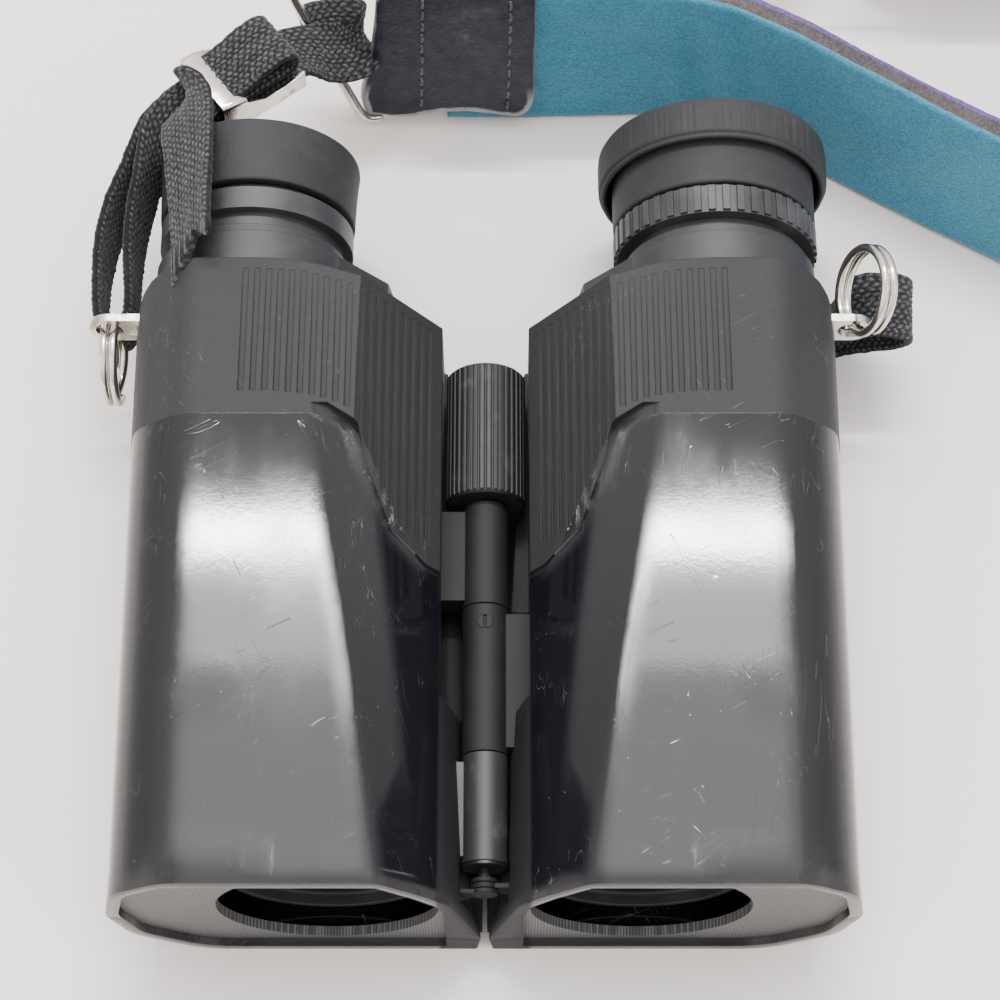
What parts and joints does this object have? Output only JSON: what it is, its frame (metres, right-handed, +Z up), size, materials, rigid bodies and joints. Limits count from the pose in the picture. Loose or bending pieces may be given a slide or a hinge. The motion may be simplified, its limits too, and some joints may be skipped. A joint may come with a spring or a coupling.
{
  "type": "binoculars",
  "caption": "Compact reverse-Porro binoculars: ribbed gloss shells, central hinge with focus wheel, diopter eyepiece, and a neck strap with a foam pad.",
  "frame": {"origin": "middle of the base of the binoculars' own box, on the surface they lie on, strap left out", "axes": "+Y from the objectives to the eyepieces, along both optical axes; +Z up from the surface; +X to the barrel with the diopter ring"},
  "size_m": [0.1948, 0.1777, 0.038],
  "materials": {
    "gloss_shell": "glossy black moulded plastic",
    "satin_plastic": "satin black plastic",
    "black_metal": "black anodised light alloy",
    "eyecup_rubber": "soft black rubber",
    "lens_glass": "coated optical glass",
    "steel": "blackened steel",
    "nickel": "bright nickel plate",
    "webbing": "coarse black woven webbing",
    "leather": "smooth black leather",
    "neoprene": "teal brushed fabric on dark foam"
  },
  "bodies": {
    "left_barrel": {"left_upper_shell": "gloss_shell", "left_lower_shell": "gloss_shell", "left_front_plate": "satin_plastic", "left_front_prism": "lens_glass", "left_rear_prism": "lens_glass", "left_prism_clips": "steel", "left_prism_plate": "black_metal", "front_hinge_lug": "black_metal", "left_rear_cap": "satin_plastic", "left_strap_lug": "nickel", "left_shell_screws": "steel", "left_eyepiece_tube": "satin_plastic", "left_eyecup": "eyecup_rubber", "left_eye_lens": "lens_glass", "left_field_lens": "lens_glass", "left_lens_spacer": "black_metal", "left_field_stop": "black_metal", "hinge_axle": "steel", "strap_pad": "neoprene", "left_leather_tab": "leather", "right_leather_tab": "leather", "left_wire_loop": "nickel", "right_wire_loop": "nickel", "left_keeper": "nickel", "right_keeper": "nickel", "left_webbing": "webbing", "left_webbing_return": "webbing", "right_webbing": "webbing"},
    "right_barrel": {"right_upper_shell": "gloss_shell", "right_lower_shell": "gloss_shell", "right_front_plate": "satin_plastic", "right_front_prism": "lens_glass", "right_rear_prism": "lens_glass", "right_prism_clips": "steel", "right_prism_plate": "black_metal", "hinge_set_screw": "steel", "right_rear_cap": "satin_plastic", "right_strap_lug": "nickel", "right_shell_screws": "steel"},
    "focus_wheel": {"focus_knob": "black_metal", "focus_knob_cap": "black_metal"},
    "left_focus_group": {"left_objective_cell": "satin_plastic", "left_objective_lens": "lens_glass", "focus_push_rod": "black_metal"},
    "right_focus_group": {"right_objective_cell": "satin_plastic", "right_objective_lens": "lens_glass", "right_focus_arm": "black_metal"},
    "right_eyepiece": {"right_eyepiece_tube": "satin_plastic", "right_eyecup": "eyecup_rubber", "right_eye_lens": "lens_glass", "right_field_lens": "lens_glass", "right_lens_spacer": "black_metal", "right_field_stop": "black_metal"},
    "diopter": {"diopter_ring": "satin_plastic"},
    "left_ring": {"left_split_ring": "nickel"},
    "right_ring": {"right_split_ring": "nickel"}
  },
  "joints": [
    {"name": "fold", "type": "hinge", "parent": "left_barrel", "child": "right_barrel", "pos_m": [0, 0, 0.0145], "axis": [0, -1, 0], "range_deg": [0, 50], "deforming": ["right_webbing"]},
    {"name": "focus_turn", "type": "hinge", "parent": "left_barrel", "child": "focus_wheel", "pos_m": [0, 0.0133, 0.0145], "axis": [0, 1, 0], "range_deg": [-200, 200]},
    {"name": "left_focus_slide", "type": "slide", "parent": "left_barrel", "child": "left_focus_group", "axis": [0, 1, 0], "range_m": [-0.00135, 0.00135]},
    {"name": "right_focus_slide", "type": "slide", "parent": "right_barrel", "child": "right_focus_group", "axis": [0, 1, 0], "range_m": [-0.00135, 0.00135]},
    {"name": "eyepiece_slide", "type": "slide", "parent": "right_barrel", "child": "right_eyepiece", "axis": [0, 1, 0], "range_m": [-0.0008, 0.0008]},
    {"name": "diopter_turn", "type": "hinge", "parent": "right_eyepiece", "child": "diopter", "pos_m": [0.036, 0.0449, 0.02], "axis": [0, 1, 0], "range_deg": [-45, 45]},
    {"name": "left_ring_swing", "type": "hinge", "parent": "left_barrel", "child": "left_ring", "pos_m": [-0.0576, 0.0289, 0.024], "axis": [0, 1, 0], "range_deg": [-6, 60], "deforming": ["left_webbing", "left_webbing_return"]},
    {"name": "right_ring_swing", "type": "hinge", "parent": "right_barrel", "child": "right_ring", "pos_m": [0.056, 0.0289, 0.024], "axis": [0, 1, 0], "range_deg": [-12, 60], "deforming": ["right_webbing"]}
  ],
  "couplings": [
    {"joint": "left_focus_slide", "follows": "focus_turn", "m_per_rad": 0.000386},
    {"joint": "right_focus_slide", "follows": "focus_turn", "m_per_rad": 0.000386},
    {"joint": "eyepiece_slide", "follows": "diopter_turn", "m_per_rad": 0.00101}
  ]
}
